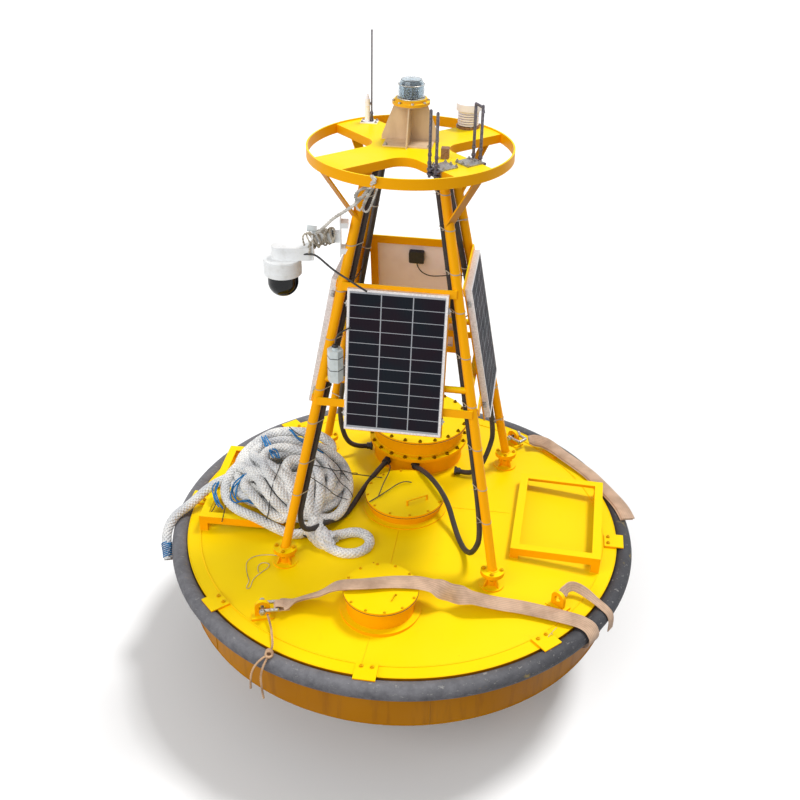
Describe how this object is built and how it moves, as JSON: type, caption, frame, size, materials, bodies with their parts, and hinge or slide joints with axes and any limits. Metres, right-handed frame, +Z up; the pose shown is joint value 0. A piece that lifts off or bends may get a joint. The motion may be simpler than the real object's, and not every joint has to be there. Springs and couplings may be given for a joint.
{
  "type": "navigation buoy",
  "caption": "Steel discus-hull navigation buoy with a pipe tower, solar panels, lantern, camera, aerials, deck hatches and stowed mooring rope.",
  "frame": {"origin": "middle of the hull's flat bottom", "axes": "+Z up along the tower's axis, -Y towards the front hatch, +X to the right"},
  "size_m": [2.6155, 2.5794, 3.372],
  "materials": {
    "yellow_paint": "gloss marine enamel, sun-faded and scuffed",
    "cream_paint": "primer-coloured paint",
    "fender_rubber": "black rubber, chafed and dusty",
    "solar_laminate": "dark cells under glass in an anodised frame",
    "black_plastic": "black plastic",
    "clear_lens": "clear ribbed lens",
    "smoked_dome": "smoked bubble",
    "white_plastic": "white plastic and enamel",
    "dark_metal": "dark coated rod",
    "galvanised": "galvanised steel",
    "rope_fibre": "thick white laid rope with blue lashings",
    "webbing": "brown polyester webbing",
    "thin_line": "thin laid line"
  },
  "bodies": {
    "buoy": {"aerial_clamps": "galvanised", "aerial_rods": "dark_metal", "camera_arm": "white_plastic", "camera_dome": "smoked_dome", "camera_drum": "white_plastic", "camera_hood": "white_plastic", "conduit_back_left": "black_plastic", "conduit_back_right": "black_plastic", "conduit_front_left": "black_plastic", "conduit_front_right": "black_plastic", "cross_tubes": "yellow_paint", "fender": "fender_rubber", "fender_clips": "yellow_paint", "front_hatch_coaming": "yellow_paint", "front_hatch_lid": "yellow_paint", "hull": "yellow_paint", "junction_boxes": "black_plastic", "junction_case": "white_plastic", "lantern_base": "yellow_paint", "lantern_lens": "clear_lens", "lantern_pedestal": "cream_paint", "lantern_source": "black_plastic", "leg_back_left": "yellow_paint", "leg_back_right": "yellow_paint", "leg_front_left": "yellow_paint", "leg_front_right": "yellow_paint", "leg_sockets": "yellow_paint", "lifting_eyes": "yellow_paint", "main_hatch_base": "yellow_paint", "main_hatch_lid": "yellow_paint", "main_hatch_riser": "yellow_paint", "mid_hatch_coaming": "yellow_paint", "mid_hatch_lid": "yellow_paint", "mooring_eyes": "yellow_paint", "panel_frames": "yellow_paint", "platform": "yellow_paint", "ring_struts": "yellow_paint", "rope_eye": "rope_fibre", "rope_heap": "rope_fibre", "rope_tail": "rope_fibre", "screen_foot": "galvanised", "sensor_block": "black_plastic", "shackles": "galvanised", "side_frame_left": "yellow_paint", "side_frame_right": "yellow_paint", "sling_front": "webbing", "sling_rear": "webbing", "sling_side": "webbing", "solar_panel_back": "solar_laminate", "solar_panel_front": "solar_laminate", "solar_panel_left": "solar_laminate", "solar_panel_right": "solar_laminate", "tag_line": "thin_line", "top_ring": "yellow_paint", "weather_screen": "white_plastic", "whip_base": "white_plastic", "whip_rod": "dark_metal"},
    "camera_pan_head": {"camera_yoke": "black_plastic"},
    "camera_tilt_head": {"camera_eye": "black_plastic"}
  },
  "joints": [
    {"name": "camera_pan", "type": "hinge", "parent": "buoy", "child": "camera_pan_head", "pos_m": [-0.571, -0.226, 2.399], "axis": [0, 0, 1], "continuous": true},
    {"name": "camera_tilt", "type": "hinge", "parent": "camera_pan_head", "child": "camera_tilt_head", "pos_m": [-0.571, -0.226, 2.341], "axis": [1, 0, 0], "range_deg": [0, 90]}
  ]
}
